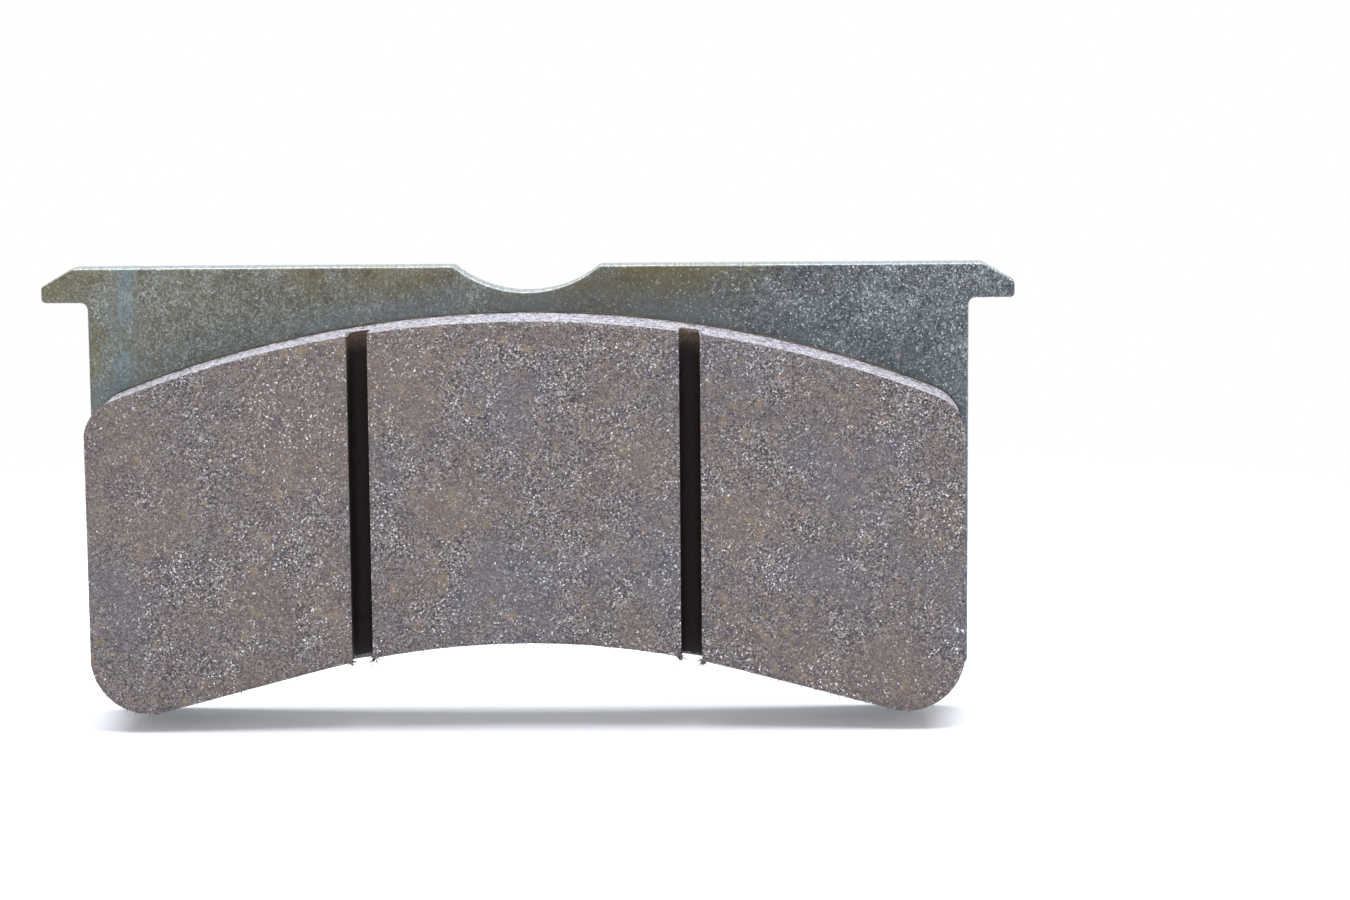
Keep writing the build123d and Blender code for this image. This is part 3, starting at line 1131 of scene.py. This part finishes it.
@dataclass
class LooseGrit:
    """Small hard bits of the compound: bright flakes in the face, and burrs at its cut edges."""

    outline: LiningOutline
    block: FrictionBlock
    flakes: int = 900
    burrs: int = 420
    root_depth: float = 0.5
    seed: int = 7

    @staticmethod
    def spread(shape: np.ndarray, faces: np.ndarray, frames: np.ndarray, places: np.ndarray) -> tuple:
        """Copies of a small shape: each point times its copy's frame, moved to the copy's place.

        Args:
            shape: points of the shape, (k, 3) or (n, k, 3).
            faces: the shape's faces.
            frames: each copy's three scaled axes as rows, (n, 3, 3).
            places: each copy's place, (n, 3).

        Returns:
            All points and all faces.
        """
        points = np.matmul(np.broadcast_to(shape, (len(places), *shape.shape[-2:])), frames)
        points = points + places[:, None]
        offsets = np.arange(len(places))[:, None, None] * shape.shape[-2]
        return points.reshape(-1, 3), (faces + offsets).reshape(-1, faces.shape[1])

    @staticmethod
    def frames(ahead: np.ndarray, sizes: np.ndarray) -> np.ndarray:
        """Right-angled axes, the first along ahead, each times its size, (n, 3, 3)."""
        ahead = ahead / np.linalg.norm(ahead, axis=1, keepdims=True)
        side = np.cross(ahead, (0.31, 0.87, 0.38))
        side /= np.linalg.norm(side, axis=1, keepdims=True)
        return np.stack([ahead, side, np.cross(ahead, side)], axis=1) * sizes[:, :, None]

    def flake_field(self) -> bpy.types.Object:
        """Flat double pyramids that lie nearly level in the face, clear of the slots."""
        draw = np.random.default_rng(self.seed)
        x = draw.uniform(-self.outline.side + 1, self.outline.side - 1, self.flakes)
        low, high = self.outline.lower(x) + 0.6, self.outline.upper(x) - 0.6
        z = low + (high - low) * draw.uniform(0, 1, self.flakes)
        clear = np.abs(np.abs(x) - self.block.slot_x) > 0.5 * self.block.slot_width + 0.4
        x, z = x[clear], z[clear]
        angle = draw.uniform(0, math.pi, len(x))
        tilt = draw.uniform(-0.35, 0.35, len(x))
        ahead = np.stack([np.cos(angle), tilt, np.sin(angle)], axis=-1)
        long = draw.lognormal(math.log(0.13), 0.45, len(x))
        sizes = np.stack([long, long * draw.uniform(0.2, 0.6, len(x)), long * 0.35], axis=-1)
        place = np.stack([x, np.full(len(x), self.block.face), z], axis=-1)
        inland = np.full(len(x), 10 * self.block.chip_reach)
        place[:, 1] += self.block.wear(place, inland)
        shape = np.array([(1, 0, 0), (-1, 0, 0), (0, 1, 0), (0, -1, 0), (0, 0, 1), (0, 0, -1)], float)
        corners = [(0, 2, 4), (2, 1, 4), (1, 3, 4), (3, 0, 4), (2, 0, 5), (1, 2, 5), (3, 1, 5), (0, 3, 5)]
        points, faces = self.spread(shape, np.array(corners), self.frames(ahead, sizes), place)
        return make_piece("face_flakes", points, [faces], smooth_degrees=10)

    def burr_places(self, draw: np.random.Generator) -> tuple:
        """Where the burrs are rooted and which way they point: slot edges, lower edge, left lobe.

        All roots lie on the block's lower side. Those at a slot are beside it, never in its gap,
        and lean across it.

        Args:
            draw: the source of the random places.

        Returns:
            Roots, directions, and which of them are at a slot.
        """
        count = self.burrs
        kind = draw.choice(3, count, p=(0.34, 0.46, 0.20))
        wall = draw.choice((-1, 1), count)
        beside = 0.5 * self.block.slot_width + draw.uniform(0.05, 0.45, count)
        slot = draw.choice((-1, 1), count) * self.block.slot_x + wall * beside
        below = draw.uniform(-0.93, 0.93, count) * self.outline.side
        lobe = -self.outline.side + draw.uniform(0, 1, count) ** 2 * 7.0
        x = np.choose(kind, (slot, below, lobe))
        over_gap = np.abs(np.abs(x) - self.block.slot_x) < 0.5 * self.block.slot_width + 0.05
        x += over_gap * (self.block.slot_width + 0.1)
        y = self.block.face + 0.25 + draw.uniform(0, 1, count) ** 2 * 2.0
        z = self.outline.lower(x)
        slope = (self.outline.lower(x + 0.05) - self.outline.lower(x - 0.05)) / 0.1
        ahead = np.stack([slope, draw.normal(-0.25, 0.5, count), -np.ones(count)], axis=-1)
        ahead /= np.linalg.norm(ahead, axis=1, keepdims=True)
        ahead += draw.normal(0, 0.55, (count, 3)) * (1, 0.4, 0.5)
        at_slot = kind == 0
        ahead[:, 0] -= at_slot * wall * draw.uniform(0.2, 1.6, count)
        ahead /= np.linalg.norm(ahead, axis=1, keepdims=True)
        return np.stack([x, y, z], axis=-1), ahead, at_slot

    def burr_field(self) -> bpy.types.Object:
        """Short bent bristles: square tubes that narrow to their tips and curve by their length squared."""
        draw = np.random.default_rng(self.seed + 1)
        places, ahead, at_slot = self.burr_places(draw)
        along = np.linspace(0, 1, 6)
        width = np.array([1.0, 0.9, 1.0, 0.7, 0.5, 0.15])
        corner = np.array([(1, 0), (0, 1), (-1, 0), (0, -1)], float)
        bend = draw.normal(0, 0.9, (len(places), 1, 1)) * along[None, :, None] ** 2
        across = corner[None, None] * width[None, :, None, None]
        tube = np.empty((len(places), 6, 4, 3))
        tube[..., 0] = along[None, :, None]
        tube[..., 1:] = across
        long = draw.lognormal(math.log(0.26), 0.55, len(places)) * np.where(at_slot, 1.9, 1.0)
        long += self.root_depth
        thick = draw.uniform(0.025, 0.07, len(places)) * np.where(at_slot, 1.5, 1.0)
        tube[..., 1] += bend * (long / thick)[:, None, None] * 0.5
        index = np.arange(24).reshape(6, 4)
        quads = np.concatenate([grid_quads(index, closed=True), index[:1], index[-1:]])
        sizes = np.stack([long, thick, thick], axis=-1)
        roots = places - ahead * self.root_depth
        points, faces = self.spread(tube.reshape(len(places), 24, 3), quads, self.frames(ahead, sizes), roots)
        return make_piece("edge_burrs", points, [faces])


@dataclass(frozen=True)
class BrightFlake:
    """Flakes of bare metal."""

    bright: tuple = linear(222, 226, 234)
    dull: tuple = linear(150, 150, 156)

    def make(self) -> bpy.types.Material:
        """The material."""
        graph = Graph(bpy.data.materials.new("bright_flake"))
        tone = graph.noise(1.3, 2)
        colour = graph.mix(tone.step(0.35, 0.6), self.dull, self.bright)
        return graph.finish(Base_Color=colour, Roughness=0.25 + 0.3 * tone, Metallic=0.85)


@dataclass(frozen=True)
class BurrCompound:
    """Torn bits of friction compound."""

    dark: tuple = linear(60, 54, 54)
    pale: tuple = linear(150, 142, 138)

    def make(self) -> bpy.types.Material:
        """The material."""
        graph = Graph(bpy.data.materials.new("burr_compound"))
        colour = graph.mix(graph.noise(0.5, 2).step(0.4, 0.6), self.dark, self.pale)
        return graph.finish(Base_Color=colour, Roughness=0.8)


# ---------------------------------------------------------------------------------------------
# Studio
# ---------------------------------------------------------------------------------------------


@dataclass
class Studio:
    """A white table, a large softbox overhead and a faint fill from the front."""

    camera_place: tuple = (0.02879, -0.50161, 0.11128)
    pitch: float = 8.42
    yaw: float = -1.01
    roll: float = -0.48
    lens: float = 100.0
    sensor: float = 36.0
    ambient: float = 0.45
    top_power: float = 13.0
    front_power: float = 1.0
    side_power: float = 0.8
    floor_size: float = 6.0
    table_bounce: tuple = (0.55, 0.55, 0.56, 1.0)
    table_colour: tuple = (0.92, 0.94, 1.0, 1.0)
    table_glow: float = 0.14

    def camera(self) -> None:
        """Aim the camera: down by pitch, round by yaw, then turned about its own line by roll."""
        pitch, yaw, roll = (math.radians(angle) for angle in (self.pitch, self.yaw, self.roll))
        ahead = Vector((math.sin(yaw) * math.cos(pitch), math.cos(yaw) * math.cos(pitch), -math.sin(pitch)))
        level = Vector((math.cos(yaw), -math.sin(yaw), 0))
        upright = level.cross(ahead)
        right = level * math.cos(roll) + upright * math.sin(roll)
        above = upright * math.cos(roll) - level * math.sin(roll)
        data = bpy.data.cameras.new("camera")
        data.lens, data.sensor_width = self.lens, self.sensor
        camera = bpy.data.objects.new("camera", data)
        turn = Matrix((right, above, -ahead)).transposed().to_4x4()
        camera.matrix_world = Matrix.Translation(self.camera_place) @ turn
        bpy.context.scene.collection.objects.link(camera)
        bpy.context.scene.camera = camera

    def softbox(self, name: str, size: tuple, power: float, place: tuple, aim: tuple) -> None:
        """A rectangular lamp at a place that shines towards a point."""
        data = bpy.data.lights.new(name, "AREA")
        data.shape, data.size, data.size_y, data.energy = "RECTANGLE", *size, power
        lamp = bpy.data.objects.new(name, data)
        lamp.location = place
        lamp.rotation_euler = (Vector(aim) - Vector(place)).to_track_quat("-Z", "Y").to_euler()
        bpy.context.scene.collection.objects.link(lamp)

    def floor(self) -> None:
        """A white table that keeps the shadow near the pad and is plain white further off."""
        half = self.floor_size / 2
        corners = np.array([(-half, -half, 0), (half, -half, 0), (half, half, 0), (-half, half, 0)])
        mesh = bpy.data.meshes.new("table_top")
        mesh.from_pydata(corners, [], [(0, 1, 2, 3)])
        table = bpy.data.objects.new("table_top", mesh)
        bpy.context.scene.collection.objects.link(table)
        graph = Graph(bpy.data.materials.new("white_table"))
        away = graph.node("ShaderNodeVectorMath", {"operation": "LENGTH"}, {0: graph.place}, "Value")
        seen = graph.seen_ray()
        plain = away.step(110.0, 260.0).larger(self.table_glow) * seen
        colour = graph.mix(seen, self.table_bounce, self.table_colour)
        paint = graph.node("ShaderNodeBsdfDiffuse", None, {"Color": colour})
        white = graph.node("ShaderNodeEmission", None, {"Color": (1, 1, 1, 1), "Strength": 1.0})
        surface = graph.node("ShaderNodeMixShader", None, {0: plain, 1: paint, 2: white})
        graph.node("ShaderNodeOutputMaterial", None, {"Surface": surface})
        mesh.materials.append(graph.owner)

    def world(self) -> None:
        """Even light from all round, and a white background where rays see it."""
        graph = Graph(bpy.data.worlds.new("studio"))
        strength = self.ambient + (1 - self.ambient) * graph.seen_ray()
        sky = graph.node("ShaderNodeBackground", None, {"Color": (1, 1, 1, 1), "Strength": strength})
        graph.node("ShaderNodeOutputWorld", None, {"Surface": sky})
        bpy.context.scene.world = graph.owner

    def build(self) -> None:
        """Set up the camera, the lamps, the table and the world."""
        self.camera()
        self.softbox("top_softbox", (1.1, 0.8), self.top_power, (0.0, 0.0, 0.80), (0, 0, 0.03))
        self.softbox("front_fill", (0.9, 0.6), self.front_power, (-0.15, -0.95, 0.45), (0, 0, 0.03))
        self.softbox("right_strip", (0.2, 0.5), self.side_power, (0.75, -0.25, 0.25), (0.05, 0, 0.03))
        self.floor()
        self.world()
        bpy.context.scene.view_settings.view_transform = "Standard"


def main() -> None:
    """Build every piece of the pad and the studio."""
    logging.basicConfig(level=logging.INFO, format="%(name)s: %(message)s")
    outline = LiningOutline()
    gap = CrownGap(outline.crown_radius, outline.crown_centre)
    block = FrictionBlock(outline)
    settle(block.build(), FrictionCompound(gap).make(), "friction_compound", "friction_block")
    base = LiningBase(outline)
    settle(base.underlayer(), Underlay().make(), "underlayer", "underlayer")
    settle(base.film(), CuredFilm().make(), "bond_film", "bond_film")
    plate = BackingPlate()
    settle(plate.build(), PlatedSteel(gap, plate.top).make(), "plated_steel", "backing_plate")
    grit = LooseGrit(outline, block)
    settle(grit.flake_field(), BrightFlake().make(), "friction_compound")
    settle(grit.burr_field(), BurrCompound().make(), "friction_compound")
    Studio().build()


if __name__ == "__main__":
    main()
